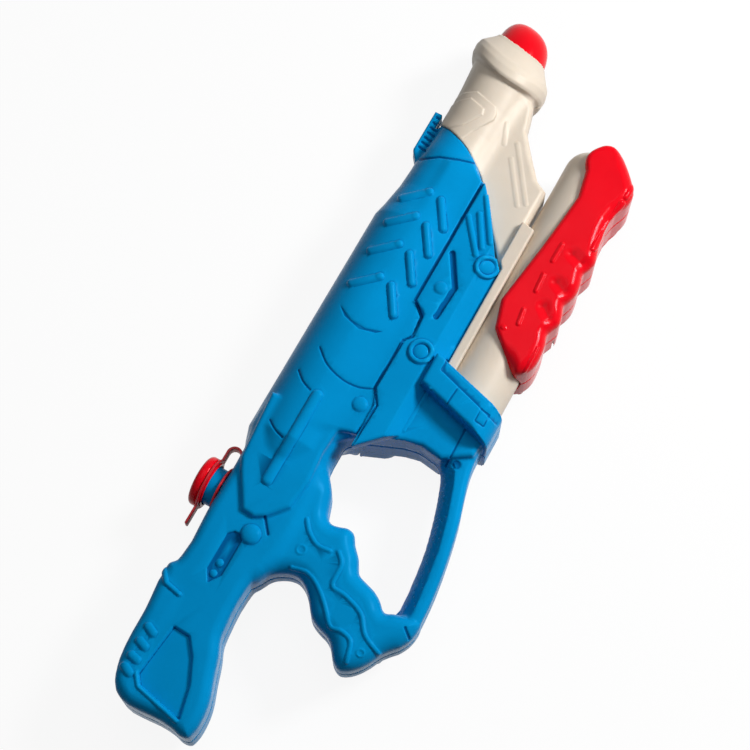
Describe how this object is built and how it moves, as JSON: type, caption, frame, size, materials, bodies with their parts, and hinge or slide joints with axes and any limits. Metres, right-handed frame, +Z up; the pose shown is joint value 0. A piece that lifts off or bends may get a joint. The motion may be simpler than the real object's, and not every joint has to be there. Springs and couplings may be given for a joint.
{
  "type": "water squirter",
  "caption": "Long toy pump-action water squirter with a shoulder stock, closed hand loop, round tank with screw filler cap, white barrel, red nozzle and a sliding red pump grip.",
  "frame": {"origin": "middle of the bounding box on the ground, with the toy lying on its left side", "axes": "+X towards the muzzle, +Y towards the toy's own top (sight, tank top and filler cap), +Z up, out of the toy's right side"},
  "size_m": [0.4828, 0.1516, 0.056],
  "materials": {
    "blue_plastic": "satin moulded blue",
    "white_plastic": "satin moulded cream white",
    "red_plastic": "glossy moulded red",
    "soft_red": "soft moulded red",
    "natural_plastic": "natural moulded",
    "hose": "milky soft tube",
    "black_rubber": "matt",
    "steel": "plain"
  },
  "bodies": {
    "body": {"right_body_shell": "blue_plastic", "left_body_shell": "blue_plastic", "body_screw_1": "steel", "body_screw_2": "steel", "body_screw_3": "steel", "body_screw_4": "steel", "body_screw_5": "steel", "body_screw_6": "steel", "body_screw_7": "steel", "barrel_right_half": "white_plastic", "barrel_left_half": "white_plastic", "barrel_screw_1": "steel", "barrel_screw_2": "steel", "nozzle_dome": "red_plastic", "nozzle_seal": "black_rubber", "jet_insert": "natural_plastic", "water_tank": "blue_plastic", "cap_tether": "soft_red", "pump_cylinder": "white_plastic", "rod_bush": "black_rubber", "valve_block": "white_plastic", "block_seal": "black_rubber", "intake_nipple": "white_plastic", "outlet_nipple": "white_plastic", "intake_spring": "steel", "outlet_spring": "steel", "intake_hose": "hose", "delivery_hose": "hose"},
    "pump": {"pump_grip_right": "red_plastic", "pump_grip_left": "red_plastic", "grip_screw_1": "steel", "grip_screw_2": "steel", "grip_screw_3": "steel", "piston_rod": "steel", "piston_head": "natural_plastic", "piston_seal": "black_rubber", "stop_sleeve": "natural_plastic"},
    "cap_carrier": {"cap_seal": "black_rubber"},
    "cap": {"filler_cap": "red_plastic"},
    "intake_valve": {"intake_ball": "steel"},
    "outlet_valve": {"outlet_ball": "steel"}
  },
  "joints": [
    {"name": "pump_slide", "type": "slide", "parent": "body", "child": "pump", "axis": [1, 0, 0], "range_m": [0, 0.11]},
    {"name": "cap_lift", "type": "slide", "parent": "body", "child": "cap_carrier", "axis": [0, 1, 0], "range_m": [0, 0.0045]},
    {"name": "cap_turn", "type": "hinge", "parent": "cap_carrier", "child": "cap", "pos_m": [-0.10843, 0.0702, 0.028], "axis": [0, 1, 0], "range_deg": [0, 540]},
    {"name": "intake_ball_lift", "type": "slide", "parent": "body", "child": "intake_valve", "axis": [0, -1, 0], "range_m": [0, 0.002], "stiffness_N_per_m": 8, "springref_m": -0.004, "deforming": ["intake_spring"]},
    {"name": "outlet_ball_lift", "type": "slide", "parent": "body", "child": "outlet_valve", "axis": [0, 1, 0], "range_m": [0, 0.002], "stiffness_N_per_m": 8, "springref_m": -0.004, "deforming": ["outlet_spring"]}
  ],
  "couplings": [
    {"joint": "cap_turn", "follows": "cap_lift", "rad_per_m": 2094.4}
  ]
}
